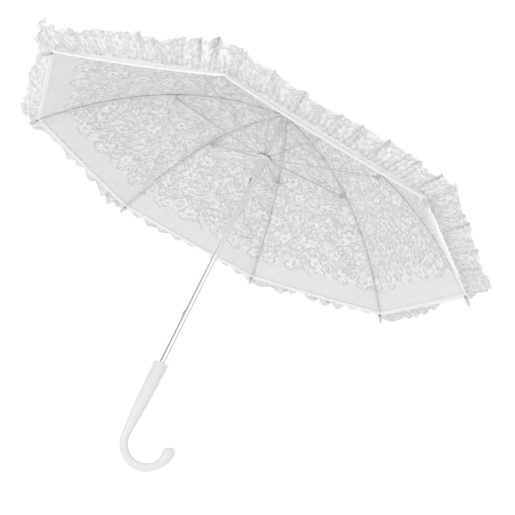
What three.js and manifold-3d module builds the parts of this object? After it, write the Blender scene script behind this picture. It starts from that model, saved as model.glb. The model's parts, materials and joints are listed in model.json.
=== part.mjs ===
// Lace parasol with a folding eight-rib frame, open. Millimetres, +Z up.
// The origin is the middle of the hand grip, on the shaft's axis. The canopy is at +Z and the
// crook of the handle turns towards +X.

import * as THREE from "three";
import { mergeVertices } from "three/addons/utils/BufferGeometryUtils.js";
import Module from "manifold-3d";

const wasm = await Module();
wasm.setup();

// ---- Driving dimensions ----

const RIBS = 8;
const SECTOR = (2 * Math.PI) / RIBS;
const FIRST_RIB = THREE.MathUtils.degToRad(-7.8);
const CATCH_AZIMUTH = FIRST_RIB + 4.5 * SECTOR;
const GAP = 0.3;

// Canopy: ribs follow height = RIM_Z + RISE * (1 - (r / RIM_R) ^ BOW).
const RIM_R = 380;
const RIM_Z = 329;
const RISE = 173.7;
const BOW = 2.2;
const CANOPY_INNER_R = 13;
const CANOPY_LIFT = 2.4;
const CANOPY_THICK = 0.8;
const RUFFLE_WIDTH = 42;
const RUFFLE_TILT = THREE.MathUtils.degToRad(25);
const RUFFLE_THICK = 1.2;

// Frame: the notch and the runner hold their pivots on rings of the same radius, and each rib's
// lug stands half way between the two rings in height, so the linkage is isosceles. Each rib
// folds down by FOLD when the parasol closes.
const FOLD = THREE.MathUtils.degToRad(60);
const PIVOT_R = 9;
const JOINT_R = 185;
const LUG_DROP = 5.5;
const RIB_WIDTH = 2.4;
const RIB_HALF_DEPTH = 1.25;
const CHANNEL_WIDTH = 1.2;
const WEB_THICK = 0.7;
const EYE_R = 1.6;
const EYE_THICK = 1.5;
const EYE_HOLE_R = 0.85;
const WIRE_R = 0.45;
const STRETCHER_R = 1;
const RIVET_R = 0.8;
const RIVET_HOLE_R = 1.15;
const LUG_THICK = 1.6;
const CHEEK_THICK = 0.8;
const SPIKE_R = 1;
const SPIKE_LENGTH = 9;
const TIP_START = 1.6;
const TIP_LENGTH = 14;
const TIP_R = 3;

// Hubs, the same gallery of slots on the notch and on the runner.
const GALLERY_R = 11.5;
const GALLERY_HALF = 2.2;
const SLOT_WIDTH = 2.1;
const SLOT_FROM_R = 7.2;
const GROOVE_HALF = 0.85;

// Shaft, catches, handle and ferrule.
const SHAFT_R = 4;
const SHAFT_BORE_R = 3.2;
const SHAFT_FOOT_Z = -32;
const BORE_R = SHAFT_R + GAP;
const RUNNER_LENGTH = 44;
const RUNNER_TOP_R = 8.5;
const RUNNER_FOOT_R = 7.6;
const CATCH_WIDTH = 1.6;
const CATCH_REACH = 6.2;
const CATCH_LENGTH = 18;
const WINDOW_FOOT = 8;
const WINDOW_HEIGHT = 21;
const GRIP_TOP_Z = 45;
const GRIP_TOP_R = 11.5;
const CROOK_BAR_R = 6.4;
const CROOK_BEND_R = 34.5;
const CROOK_BEND_Z = -70;
const CROOK_SWEEP = THREE.MathUtils.degToRad(194);
const KNOB_R = 9.4;
const HANDLE_PIN_Z = 26;
const HANDLE_PIN_R = 1.2;
const WASHER_R = 17;
const WASHER_THICK = 1.6;
const FERRULE_LENGTH = 38;
const FERRULE_FOOT_R = 6.2;
const FERRULE_TIP_R = 4.6;

// ---- Shape helpers ----

// A closed three.js geometry as a solid that can be joined and cut.
function solid(geometry) {
  const bare = geometry.index ? geometry.toNonIndexed() : geometry.clone();
  bare.deleteAttribute("normal");
  bare.deleteAttribute("uv");
  const merged = mergeVertices(bare, 1e-4);
  return new wasm.Manifold(new wasm.Mesh({
    numProp: 3,
    vertProperties: Float32Array.from(merged.attributes.position.array),
    triVerts: Uint32Array.from(merged.index.array),
  }));
}

function geometryOf(body) {
  const mesh = body.getMesh();
  const geometry = new THREE.BufferGeometry();
  geometry.setAttribute("position", new THREE.BufferAttribute(mesh.vertProperties, 3));
  geometry.setIndex(new THREE.BufferAttribute(mesh.triVerts, 1));
  return geometry;
}

function join(...bodies) {
  return bodies.reduce((whole, body) => whole.add(body));
}

function cut(body, ...tools) {
  return tools.reduce((whole, tool) => whole.subtract(tool), body);
}

// An outline in the plane of radius and height, given a thickness across that plane.
function plate(shape, thick, steps = 12) {
  const geometry = new THREE.ExtrudeGeometry(shape, {
    depth: thick,
    bevelEnabled: false,
    curveSegments: steps,
  });
  return solid(geometry.translate(0, 0, -thick / 2).rotateX(Math.PI / 2));
}

function box(x0, x1, width, z0, z1) {
  const geometry = new THREE.BoxGeometry(x1 - x0, width, z1 - z0);
  return solid(geometry.translate((x0 + x1) / 2, 0, (z0 + z1) / 2));
}

// A pin that lies across the plane of radius and height.
function crossPin(x, z, radius, length, sides = 10) {
  return solid(new THREE.CylinderGeometry(radius, radius, length, sides).translate(x, 0, z));
}

// A body turned about +Z from [radius, height] points that start and end on the axis, or close
// on themselves.
function turned(points, sides) {
  const profile = points.map(([r, z]) => new THREE.Vector2(r, z));
  return solid(new THREE.LatheGeometry(profile, sides).rotateX(Math.PI / 2));
}

function upright(radius, z0, z1, sides) {
  return turned([[0, z0], [radius, z0], [radius, z1], [0, z1]], sides);
}

function aroundShaft(body, azimuth) {
  return body.rotate([0, 0, THREE.MathUtils.radToDeg(azimuth)]);
}

const parts = new THREE.Group();

function addPart(name, body, material, azimuth = 0) {
  const mesh = new THREE.Mesh(geometryOf(body), material);
  mesh.name = name;
  mesh.rotation.z = azimuth;
  parts.add(mesh);
}

// ---- The curve of a rib ----

function ribHeight(r) {
  return RIM_Z + RISE * (1 - (r / RIM_R) ** BOW);
}

function ribSlope(r) {
  return -(RISE * BOW / RIM_R) * (r / RIM_R) ** (BOW - 1);
}

// The point at radius r on the rib's centreline, moved out along the curve's normal.
function ribPoint(r, offset = 0) {
  const slope = ribSlope(r);
  const length = Math.hypot(1, slope);
  return new THREE.Vector2(r - (slope * offset) / length, ribHeight(r) + offset / length);
}

// A strip that follows the rib from one radius to another, between two offsets from it.
function ribBand(from, to, low, high, steps) {
  const radii = Array.from({ length: steps + 1 }, (_, i) => from + ((to - from) * i) / steps);
  const upper = radii.map((r) => ribPoint(r, high));
  const lower = radii.map((r) => ribPoint(r, low)).reverse();
  return new THREE.Shape([...upper, ...lower]);
}

const notchZ = ribHeight(PIVOT_R);
const joint = ribPoint(JOINT_R, -LUG_DROP);
const runnerZ = 2 * joint.y - notchZ;
const stretcherLength = Math.hypot(joint.x - PIVOT_R, joint.y - runnerZ);
const stretcherRise = Math.atan2(joint.y - runnerZ, joint.x - PIVOT_R);
const runnerFootZ = runnerZ - RUNNER_LENGTH;

// ---- Materials ----

function finish(color, roughness, metalness) {
  return new THREE.MeshStandardMaterial({ color, roughness, metalness });
}

const whitePlastic = finish(0xf2f2f0, 0.32, 0);
const chrome = finish(0xc9c8c5, 0.16, 1);
const ribSteel = finish(0x56565a, 0.38, 0.9);
const springSteel = finish(0xa89a84, 0.35, 0.9);
const lace = finish(0xe4e4e2, 0.9, 0);

// ---- Handle ----

// The grip is thickest at its top and narrows to the bar of the crook.
function gripProfile() {
  const steps = 9;
  const top = GRIP_TOP_Z - 1.5;
  const side = Array.from({ length: steps + 1 }, (_, i) => {
    const t = 1 - i / steps;
    const ease = t ** 1.5 * (1 - 0.18 * Math.sin(Math.PI * t));
    const radius = GRIP_TOP_R + (CROOK_BAR_R - GRIP_TOP_R) * ease;
    return [radius, top + (CROOK_BEND_Z - top) * t];
  });
  return [[0, CROOK_BEND_Z], ...side, [GRIP_TOP_R - 1.8, GRIP_TOP_Z], [0, GRIP_TOP_Z]];
}

function crookPoint(angle) {
  const x = CROOK_BEND_R * (1 - Math.cos(angle));
  const z = CROOK_BEND_Z - CROOK_BEND_R * Math.sin(angle);
  return new THREE.Vector3(x, 0, z);
}

function crookBar() {
  const steps = 16;
  const path = new THREE.CatmullRomCurve3([
    new THREE.Vector3(0, 0, CROOK_BEND_Z + 6),
    ...Array.from({ length: steps + 1 }, (_, i) => crookPoint((CROOK_SWEEP * i) / steps)),
  ]);
  const section = new THREE.Shape().absarc(0, 0, CROOK_BAR_R, 0, 2 * Math.PI);
  const geometry = new THREE.ExtrudeGeometry(section, {
    steps: 18,
    curveSegments: 7,
    bevelEnabled: false,
    extrudePath: path,
  });
  return solid(geometry);
}

function knob() {
  const at = crookPoint(CROOK_SWEEP * 0.965);
  const ball = new THREE.SphereGeometry(KNOB_R, 14, 8).scale(1, 1, 1.45);
  ball.rotateY(Math.PI / 2 - (CROOK_SWEEP * 0.965 - Math.PI / 2));
  return solid(ball.translate(at.x, 0, at.z));
}

function handle() {
  const body = join(turned(gripProfile(), 20), crookBar(), knob());
  const bore = upright(BORE_R, SHAFT_FOOT_Z - 0.6, GRIP_TOP_Z + 5, 20);
  return cut(body, bore, crossPin(0, HANDLE_PIN_Z, HANDLE_PIN_R + GAP, 40));
}

// ---- Shaft and its catches ----

// The catch is a leaf with a flat shoulder at z = 0 and a ramp that runs down into the shaft.
function catchLeaf() {
  const inner = -0.5;
  const shape = new THREE.Shape();
  shape.moveTo(inner, 0);
  shape.lineTo(CATCH_REACH, 0);
  shape.lineTo(CATCH_REACH, -3);
  shape.lineTo(SHAFT_BORE_R - 0.5, -CATCH_LENGTH + 2);
  shape.lineTo(SHAFT_BORE_R - 0.5, -CATCH_LENGTH - 4);
  shape.lineTo(inner, -CATCH_LENGTH - 4);
  return plate(shape, CATCH_WIDTH);
}

const travel = 2 * stretcherLength * (Math.sin(stretcherRise + FOLD) - Math.sin(stretcherRise));
const topCatchZ = runnerFootZ - 0.4;
const bottomCatchZ = runnerFootZ - travel + WINDOW_FOOT + 0.4;

function topCatch() {
  return catchLeaf().translate([0, 0, topCatchZ]);
}

function bottomCatch() {
  return catchLeaf().mirror([0, 0, 1]).translate([0, 0, bottomCatchZ]);
}

function catchSlot(z0, z1) {
  return aroundShaft(box(1, SHAFT_R + 2, CATCH_WIDTH + 2 * GAP, z0, z1), CATCH_AZIMUTH);
}

const shaftTopZ = notchZ + 15;

function shaft() {
  const tube = turned([
    [SHAFT_BORE_R, SHAFT_FOOT_Z], [SHAFT_R, SHAFT_FOOT_Z],
    [SHAFT_R, shaftTopZ], [SHAFT_BORE_R, shaftTopZ], [SHAFT_BORE_R, SHAFT_FOOT_Z],
  ], 20);
  return cut(
    tube,
    crossPin(0, HANDLE_PIN_Z, HANDLE_PIN_R + GAP, 20),
    catchSlot(topCatchZ - CATCH_LENGTH + 1.2, topCatchZ + GAP),
    catchSlot(bottomCatchZ - GAP, bottomCatchZ + CATCH_LENGTH - 1.2),
  );
}

// ---- Notch and runner ----

function gallerySlots(z, height) {
  const reach = GALLERY_R + 3;
  return Array.from({ length: RIBS }, (_, k) => aroundShaft(
    box(SLOT_FROM_R, reach, SLOT_WIDTH, z - height, z + height),
    FIRST_RIB + k * SECTOR,
  ));
}

function wireGroove(z) {
  const inner = PIVOT_R - GROOVE_HALF;
  const outer = GALLERY_R + 1;
  return turned([
    [inner, z - GROOVE_HALF], [outer, z - GROOVE_HALF],
    [outer, z + GROOVE_HALF], [inner, z + GROOVE_HALF], [inner, z - GROOVE_HALF],
  ], 32);
}

function topNotch() {
  const low = notchZ - GALLERY_HALF;
  const high = notchZ + GALLERY_HALF;
  const body = turned([
    [0, low - 8], [5.6, low - 8], [6.4, low - 6.5], [6.4, low], [GALLERY_R, low],
    [GALLERY_R, high], [0, high],
  ], 32);
  return cut(
    body,
    ...gallerySlots(notchZ, GALLERY_HALF + 1),
    wireGroove(notchZ),
    upright(BORE_R, low - 10, high + 2, 20),
  );
}

function runner() {
  const low = runnerZ - GALLERY_HALF;
  const high = runnerZ + GALLERY_HALF;
  const body = turned([
    [0, runnerFootZ], [RUNNER_FOOT_R - 0.8, runnerFootZ], [RUNNER_FOOT_R, runnerFootZ + 1.2],
    [RUNNER_TOP_R - 0.5, low - 7], [RUNNER_TOP_R + 0.5, low - 4], [GALLERY_R, low],
    [GALLERY_R, high], [6.6, high], [6.2, high + 3], [0, high + 3],
  ], 32);
  const slots = Array.from({ length: RIBS }, (_, k) => aroundShaft(
    box(SLOT_FROM_R, GALLERY_R + 3, SLOT_WIDTH, low, high + 4),
    FIRST_RIB + k * SECTOR,
  ));
  const clearWidth = CATCH_WIDTH + 2 * GAP;
  const groove = box(0, CATCH_REACH + GAP, clearWidth, runnerFootZ - 2, high + 5);
  const windowCut = box(
    0, RUNNER_TOP_R + 4, clearWidth, runnerFootZ + WINDOW_FOOT, runnerFootZ + WINDOW_FOOT + WINDOW_HEIGHT,
  );
  return cut(
    body,
    ...slots,
    wireGroove(runnerZ),
    upright(BORE_R + 0.05, runnerFootZ - 2, high + 5, 20),
    aroundShaft(groove, CATCH_AZIMUTH),
    aroundShaft(windowCut, CATCH_AZIMUTH),
  );
}

// The wire ring that strings the eyes together in a gallery.
function pivotWire(z) {
  const ring = new THREE.TorusGeometry(PIVOT_R, WIRE_R, 6, 32);
  return solid(ring.rotateZ(SECTOR / 8).translate(0, 0, z));
}

// ---- Ribs and stretchers, each in its own plane of radius and height ----

// Places a body made along +Z from the rib's end, pointing on along the rib.
function atRibEnd(body) {
  const end = ribPoint(RIM_R);
  const slope = THREE.MathUtils.radToDeg(Math.atan(-ribSlope(RIM_R)));
  return body.rotate([0, 90 + slope, 0]).translate([end.x, 0, end.y]);
}

function rib() {
  const start = PIVOT_R + 4;
  const shell = plate(ribBand(start, RIM_R - 1, -RIB_HALF_DEPTH, RIB_HALF_DEPTH, 13), RIB_WIDTH);
  const channel = (from, to, steps) => plate(
    ribBand(from, to, -RIB_HALF_DEPTH - 1, RIB_HALF_DEPTH - WEB_THICK, steps), CHANNEL_WIDTH,
  );
  const tab = join(
    crossPin(PIVOT_R, notchZ, EYE_R, EYE_THICK, 12),
    box(PIVOT_R, start + 3, EYE_THICK, notchZ - EYE_R + 0.3, notchZ + EYE_R - 0.3),
  );
  const lugRoot = ribPoint(JOINT_R);
  const lugTurn = THREE.MathUtils.radToDeg(Math.atan(-ribSlope(JOINT_R)));
  const lug = join(
    crossPin(joint.x, joint.y, 2, LUG_THICK, 12),
    box(-2, 2, LUG_THICK, -LUG_DROP, 0).rotate([0, lugTurn, 0]).translate([lugRoot.x, 0, lugRoot.y]),
  );
  const spike = atRibEnd(upright(SPIKE_R, -4, SPIKE_LENGTH, 8));
  return cut(
    join(
      cut(shell, channel(start + 5, JOINT_R - 5, 6), channel(JOINT_R + 5, RIM_R - 6, 6)),
      tab, lug, spike,
    ),
    crossPin(PIVOT_R, notchZ, EYE_HOLE_R, 6),
    crossPin(joint.x, joint.y, RIVET_HOLE_R, 6),
  );
}

function tipCap() {
  const end = TIP_START + TIP_LENGTH;
  const cap = turned([
    [0, TIP_START], [TIP_R - 0.4, TIP_START], [TIP_R, TIP_START + 0.8], [TIP_R * 0.86, end - 2.6],
    [TIP_R * 0.62, end - 0.8], [0, end],
  ], 12);
  const socket = upright(SPIKE_R + GAP, TIP_START - 2, SPIKE_LENGTH + GAP, 10);
  return atRibEnd(cut(cap, socket));
}

// The stretcher is made along +X from the runner's pivot, then raised to its slope.
function stretcher() {
  const far = stretcherLength;
  const eye = join(
    crossPin(0, 0, EYE_R, EYE_THICK, 12),
    box(0, 7, EYE_THICK, -EYE_R + 0.3, EYE_R - 0.3),
  );
  const rod = solid(new THREE.CylinderGeometry(STRETCHER_R, STRETCHER_R, far - 10, 8)
    .rotateZ(Math.PI / 2).translate((far - 2) / 2, 0, 0));
  const width = LUG_THICK + 2 * GAP + 2 * CHEEK_THICK;
  const fork = cut(
    join(box(far - 9, far, width, -EYE_R, EYE_R), crossPin(far, 0, EYE_R, width, 12)),
    box(far - 3, far + 4, LUG_THICK + 2 * GAP, -4, 4),
  );
  const whole = cut(
    join(eye, rod, fork),
    crossPin(0, 0, EYE_HOLE_R, 6),
    crossPin(far, 0, RIVET_HOLE_R, 8),
  );
  return whole.rotate([0, -THREE.MathUtils.radToDeg(stretcherRise), 0])
    .translate([PIVOT_R, 0, runnerZ]);
}

// A pin with a round head outside each cheek of the fork.
function rivet() {
  const half = LUG_THICK / 2 + GAP + CHEEK_THICK + GAP;
  const headR = 1.7;
  const pin = turned([
    [0, -half - 0.8], [headR * 0.7, -half - 0.6], [headR, -half], [RIVET_R, -half],
    [RIVET_R, half], [headR, half], [headR * 0.7, half + 0.6], [0, half + 0.8],
  ], 10);
  return pin.rotate([90, 0, 0]).translate([joint.x, 0, joint.y]);
}

// ---- Canopy and ruffle, one sector of cloth for each rib ----

// A point of the cloth: on the rib's own plane at side 0 and half way to the next rib, on the
// straight line between the two ribs, at side 1 or -1.
function clothPoint(profile, side) {
  const across = Math.abs(side) * Math.sin(SECTOR / 2) * Math.cos(SECTOR / 2);
  const back = Math.abs(side) * Math.sin(SECTOR / 2) ** 2;
  return new THREE.Vector3(profile.x * (1 - back), Math.sign(side) * profile.x * across, profile.y);
}

// A closed shell between an outer and an inner grid of points, rows of equal length.
function shell(outer, inner) {
  const rows = outer.length;
  const columns = outer[0].length;
  const position = [...outer.flat(), ...inner.flat()].flatMap((p) => p.toArray());
  const at = (layer, i, j) => layer * rows * columns + i * columns + j;
  const index = [];
  const quad = (a, b, c, d) => index.push(a, b, c, a, c, d);
  for (let i = 0; i + 1 < rows; i += 1) {
    for (let j = 0; j + 1 < columns; j += 1) {
      quad(at(0, i, j), at(0, i + 1, j), at(0, i + 1, j + 1), at(0, i, j + 1));
      quad(at(1, i, j), at(1, i, j + 1), at(1, i + 1, j + 1), at(1, i + 1, j));
    }
    quad(at(0, i + 1, 0), at(0, i, 0), at(1, i, 0), at(1, i + 1, 0));
    quad(at(0, i, columns - 1), at(0, i + 1, columns - 1), at(1, i + 1, columns - 1),
      at(1, i, columns - 1));
  }
  for (let j = 0; j + 1 < columns; j += 1) {
    quad(at(0, 0, j), at(0, 0, j + 1), at(1, 0, j + 1), at(1, 0, j));
    quad(at(0, rows - 1, j + 1), at(0, rows - 1, j), at(1, rows - 1, j), at(1, rows - 1, j + 1));
  }
  const geometry = new THREE.BufferGeometry();
  geometry.setAttribute("position", new THREE.Float32BufferAttribute(position, 3));
  geometry.setIndex(index);
  return solid(geometry);
}

// Side positions across a sector, stopping short of its edges by half a gap.
function sideSteps(radius) {
  const edge = 1 - (0.75 * GAP) / (radius * Math.sin(SECTOR / 2));
  return [-edge, -edge / 2, 0, edge / 2, edge];
}

function clothRow(profile) {
  return sideSteps(profile.x).map((side) => clothPoint(profile, side));
}

function canopySector() {
  const steps = 9;
  const last = RIM_R - 1;
  const radii = Array.from({ length: steps + 1 }, (_, i) => (
    CANOPY_INNER_R + (last - CANOPY_INNER_R) * (i / steps)
  ));
  const layer = (offset) => radii.map((r) => clothRow(ribPoint(r, offset)));
  return shell(layer(CANOPY_LIFT + CANOPY_THICK), layer(CANOPY_LIFT));
}

function ruffleSector() {
  const foot = ribPoint(RIM_R - 5, CANOPY_LIFT + CANOPY_THICK + 1.2);
  const along = new THREE.Vector2(Math.cos(RUFFLE_TILT), Math.sin(RUFFLE_TILT));
  const normal = new THREE.Vector2(-along.y, along.x);
  const layer = (offset) => [0, 0.5, 1].map((t) => clothRow(
    foot.clone().addScaledVector(along, RUFFLE_WIDTH * t).addScaledVector(normal, offset),
  ));
  return shell(layer(RUFFLE_THICK), layer(0));
}

// ---- Crown ----

const washerZ = notchZ + CANOPY_LIFT + CANOPY_THICK + 0.5;

function canopyWasher() {
  const disc = turned([
    [0, washerZ], [WASHER_R, washerZ], [WASHER_R, washerZ + 0.7], [9, washerZ + WASHER_THICK],
    [0, washerZ + WASHER_THICK],
  ], 24);
  return cut(disc, upright(BORE_R, washerZ - 2, washerZ + 4, 20));
}

function ferrule() {
  const foot = washerZ + WASHER_THICK + GAP;
  const top = foot + FERRULE_LENGTH;
  const body = turned([
    [0, foot], [FERRULE_FOOT_R + 1.8, foot], [FERRULE_FOOT_R + 1.8, foot + 2],
    [FERRULE_FOOT_R, foot + 4.5], [FERRULE_TIP_R, top - 1.5], [FERRULE_TIP_R - 1.2, top], [0, top],
  ], 20);
  return cut(body, upright(BORE_R, foot - 2, shaftTopZ + 0.5, 20));
}

// ---- The whole parasol ----

addPart("crook_handle", handle(), whitePlastic);
addPart("handle_pin", crossPin(0, HANDLE_PIN_Z, HANDLE_PIN_R, 21), chrome);
addPart("shaft", shaft(), chrome);
addPart("top_catch", topCatch(), springSteel, CATCH_AZIMUTH);
addPart("bottom_catch", bottomCatch(), springSteel, CATCH_AZIMUTH);
addPart("runner", runner(), whitePlastic);
addPart("runner_wire", pivotWire(runnerZ), ribSteel, FIRST_RIB);
addPart("top_notch", topNotch(), whitePlastic);
addPart("notch_wire", pivotWire(notchZ), ribSteel, FIRST_RIB);
addPart("canopy_washer", canopyWasher(), whitePlastic);
addPart("ferrule", ferrule(), whitePlastic);

for (let k = 0; k < RIBS; k += 1) {
  const azimuth = FIRST_RIB + k * SECTOR;
  const number = k + 1;
  addPart(`rib_${number}`, rib(), ribSteel, azimuth);
  addPart(`stretcher_${number}`, stretcher(), ribSteel, azimuth);
  addPart(`joint_rivet_${number}`, rivet(), chrome, azimuth);
  addPart(`rib_tip_${number}`, tipCap(), whitePlastic, azimuth);
  addPart(`canopy_gore_${number}`, canopySector(), lace, azimuth);
  addPart(`ruffle_${number}`, ruffleSector(), lace, azimuth);
}

export default parts;
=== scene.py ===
"""Looks of the lace parasol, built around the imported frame. Metres, +Z up."""

import json
import math
from dataclasses import dataclass
import bpy
import numpy as np
from mathutils import Matrix, Vector


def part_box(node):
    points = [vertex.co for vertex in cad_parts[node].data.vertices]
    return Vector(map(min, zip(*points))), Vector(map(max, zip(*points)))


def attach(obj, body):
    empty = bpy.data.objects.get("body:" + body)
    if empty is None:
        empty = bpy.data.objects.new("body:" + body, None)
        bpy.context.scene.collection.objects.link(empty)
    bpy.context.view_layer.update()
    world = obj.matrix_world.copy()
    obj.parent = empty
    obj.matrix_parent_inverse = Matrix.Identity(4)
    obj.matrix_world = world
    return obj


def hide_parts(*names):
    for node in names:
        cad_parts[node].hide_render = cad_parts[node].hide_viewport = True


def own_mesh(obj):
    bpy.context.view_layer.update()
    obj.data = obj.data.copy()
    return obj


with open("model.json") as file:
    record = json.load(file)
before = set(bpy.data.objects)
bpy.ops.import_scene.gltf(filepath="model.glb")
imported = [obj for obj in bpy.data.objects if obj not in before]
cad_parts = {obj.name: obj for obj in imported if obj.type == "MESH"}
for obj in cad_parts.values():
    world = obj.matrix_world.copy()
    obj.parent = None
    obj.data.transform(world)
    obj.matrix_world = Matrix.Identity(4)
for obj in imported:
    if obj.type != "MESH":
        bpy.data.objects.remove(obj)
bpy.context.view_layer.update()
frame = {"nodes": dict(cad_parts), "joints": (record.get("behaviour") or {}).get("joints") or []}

# ---- Sizes from the frame, and the CAD's own ----

RIBS = 8
SECTOR = 2 * math.pi / RIBS
RIM_R, RIM_Z, RISE, BOW = 0.380, 0.329, 0.1737, 2.2
JOINTS = {j["name"]: j for j in frame["joints"]}
ROOT = "shaft_and_handle"


def cylinder_place(point):
    """(radius, height, azimuth) of a point about the shaft."""
    return math.hypot(point[0], point[1]), point[2], math.atan2(point[1], point[0])


PIVOT_R, NOTCH_Z, FIRST_RIB = cylinder_place(JOINTS["canopy_fold"]["pos_m"])
LUG_R, LUG_Z, _ = cylinder_place(JOINTS["stretcher_1_hinge"]["pos_m"])
RUNNER_Z = JOINTS["runner_hinge"]["pos_m"][2]
CATCH_AZIMUTH = FIRST_RIB + 4.5 * SECTOR
SHAFT_R = 0.004
SHAFT_BORE_R = 0.0032
BORE_R = 0.0043
GRIP_TOP_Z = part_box("crook_handle")[1].z
RIM_WIDTH = 2 * RIM_R * math.sin(SECTOR / 2)


def rib_azimuth(k):
    return FIRST_RIB + k * SECTOR


# ---- The rib's curve and the cloth over it ----


def rib_height(r):
    return RIM_Z + RISE * (1 - (r / RIM_R) ** BOW)


def rib_slope(r):
    return -(RISE * BOW / RIM_R) * (r / RIM_R) ** (BOW - 1)


def rib_point(r, offset=0.0):
    """Radius and height of the rib's centreline at r, moved out along its normal."""
    slope = rib_slope(r)
    length = np.hypot(1, slope)
    return r - slope * offset / length, rib_height(r) + offset / length


def cloth_point(radius, height, side):
    """A point over the rib at side 0, and half way to the next rib at side 1 or -1."""
    across = side * math.sin(SECTOR / 2) * math.cos(SECTOR / 2)
    back = np.abs(side) * math.sin(SECTOR / 2) ** 2
    return np.stack([radius * (1 - back), radius * across, height + 0 * side], axis=-1)


def arc_table(count=600):
    """Radii from the crown to the rim and the rib's arc length at each."""
    radii = np.linspace(0.0, RIM_R, count)
    step = np.hypot(np.diff(radii), np.diff(rib_height(radii)))
    return radii, np.concatenate([[0], np.cumsum(step)])


ARC_RADII, ARC_LENGTHS = arc_table()
RIM_ARC = float(ARC_LENGTHS[-1])
PLAIN_BORDER_MM = 50.0
CANOPY_LIMIT_MM = RIM_ARC * 1000 - PLAIN_BORDER_MM


# ---- Mesh helpers ----


def new_mesh(name, points, quads):
    """A smooth mesh of quads from arrays of points and corner numbers."""
    mesh = bpy.data.meshes.new(name)
    points = np.asarray(points, np.float32).reshape(-1, 3)
    quads = np.asarray(quads, np.int32).reshape(-1, 4)
    mesh.vertices.add(len(points))
    mesh.vertices.foreach_set("co", points.ravel())
    mesh.loops.add(quads.size)
    mesh.loops.foreach_set("vertex_index", quads.ravel())
    mesh.polygons.add(len(quads))
    mesh.polygons.foreach_set("loop_start", np.arange(len(quads), dtype=np.int32) * 4)
    mesh.update(calc_edges=True)
    mesh.validate()
    mesh.polygons.foreach_set("use_smooth", np.ones(len(mesh.polygons), bool))
    return mesh


def face_mesh(name, points, faces):
    """A mesh from points and faces with any number of corners."""
    mesh = bpy.data.meshes.new(name)
    mesh.from_pydata(points, [], faces)
    return mesh


def object_of(name, mesh):
    obj = bpy.data.objects.new(name, mesh)
    bpy.context.scene.collection.objects.link(obj)
    return obj


def finish_piece(obj, body, material, replaces=()):
    """Gives a piece its body and material, and hides the CAD nodes that it stands for."""
    obj.data.materials.clear()
    obj.data.materials.append(material)
    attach(obj, body)
    if replaces:
        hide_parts(*replaces)
    return obj


def applied(obj):
    """Applies the object's modifiers to its mesh."""
    graph = bpy.context.evaluated_depsgraph_get()
    mesh = bpy.data.meshes.new_from_object(obj.evaluated_get(graph))
    obj.modifiers.clear()
    old, obj.data = obj.data, mesh
    bpy.data.meshes.remove(old)
    return obj


def grid_quads(rows, columns, start=0, flip=False, wrap=False):
    """Quads between the points of a grid; wrap joins the last column to the first."""
    i = np.arange(rows - 1)[:, None]
    j = np.arange(columns if wrap else columns - 1)[None, :]
    after = (j + 1) % columns
    corners = [i * columns + j, (i + 1) * columns + j, (i + 1) * columns + after, i * columns + after]
    quads = np.stack(corners, axis=-1).reshape(-1, 4) + start
    return quads[:, ::-1] if flip else quads


def unit(vectors):
    """The vectors at length 1. One without a length stays as it is."""
    length = np.linalg.norm(vectors, axis=-1, keepdims=True)
    return vectors / np.where(length > 0, length, 1)


def grid_normals(points):
    return unit(np.cross(np.gradient(points, axis=0), np.gradient(points, axis=1)))


def shell_mesh(name, outer, inner, cloth_mm, cloth_left_mm=None):
    """A closed thin sheet between two grids. A UV map holds its flat cloth coordinates in
    millimetres; its left half may take them from a piece of cloth of its own."""
    rows, columns = outer.shape[:2]
    count = rows * columns
    index = np.arange(count).reshape(rows, columns)
    ring = np.concatenate([index[0, :-1], index[:-1, -1], index[-1, :0:-1], index[:0:-1, 0]])
    after = np.roll(ring, -1)
    rim = np.stack([ring, after, after + count, ring + count], axis=-1)
    quads = np.concatenate([
        grid_quads(rows, columns), grid_quads(rows, columns, count, flip=True), rim,
    ])
    mesh = new_mesh(name, np.concatenate([outer.reshape(-1, 3), inner.reshape(-1, 3)]), quads)
    shade(mesh, math.radians(50))
    corner = np.zeros(len(mesh.loops), np.int32)
    mesh.loops.foreach_get("vertex_index", corner)
    corner = corner % count
    flat = cloth_mm.reshape(-1, 2)[corner]
    if cloth_left_mm is not None:
        column = (corner % columns).reshape(-1, 4)
        left = np.repeat(column.mean(axis=1) < (columns - 1) / 2, 4)
        flat = np.where(left[:, None], cloth_left_mm.reshape(-1, 2)[corner], flat)
    layer = mesh.uv_layers.new(name="cloth")
    layer.data.foreach_set("uv", flat.astype(np.float32).ravel())
    return mesh


def turned_mesh(name, profile, sides=64):
    """A solid turned about +Z from (radius, height) points that go up its outside."""
    angle = np.linspace(0, 2 * math.pi, sides, endpoint=False)
    points, faces, starts = [], [], []
    for r, z in profile:
        starts.append(len(points))
        if r == 0:
            points.append((0, 0, z))
        else:
            points += [(r * math.cos(a), r * math.sin(a), z) for a in angle]
    for n, (low, high) in enumerate(zip(profile, profile[1:])):
        a, b = starts[n], starts[n + 1]
        for i in range(sides):
            k = (i + 1) % sides
            if low[0] == 0:
                faces.append((a, b + k, b + i))
            elif high[0] == 0:
                faces.append((a + i, a + k, b))
            else:
                faces.append((a + i, a + k, b + k, b + i))
    if profile[0] == profile[-1] and profile[0][0] > 0:
        last = starts[-1]
        faces = [tuple(v - last if v >= last else v for v in f) for f in faces]
        points = points[:last]
    return shade(face_mesh(name, points, faces))


def shade(mesh, crease=math.radians(32)):
    """Smooth shading, sharp where faces meet at more than the crease angle."""
    mesh.polygons.foreach_set("use_smooth", np.ones(len(mesh.polygons), bool))
    mesh.set_sharp_from_angle(angle=crease)
    mesh.update()
    return mesh


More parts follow.
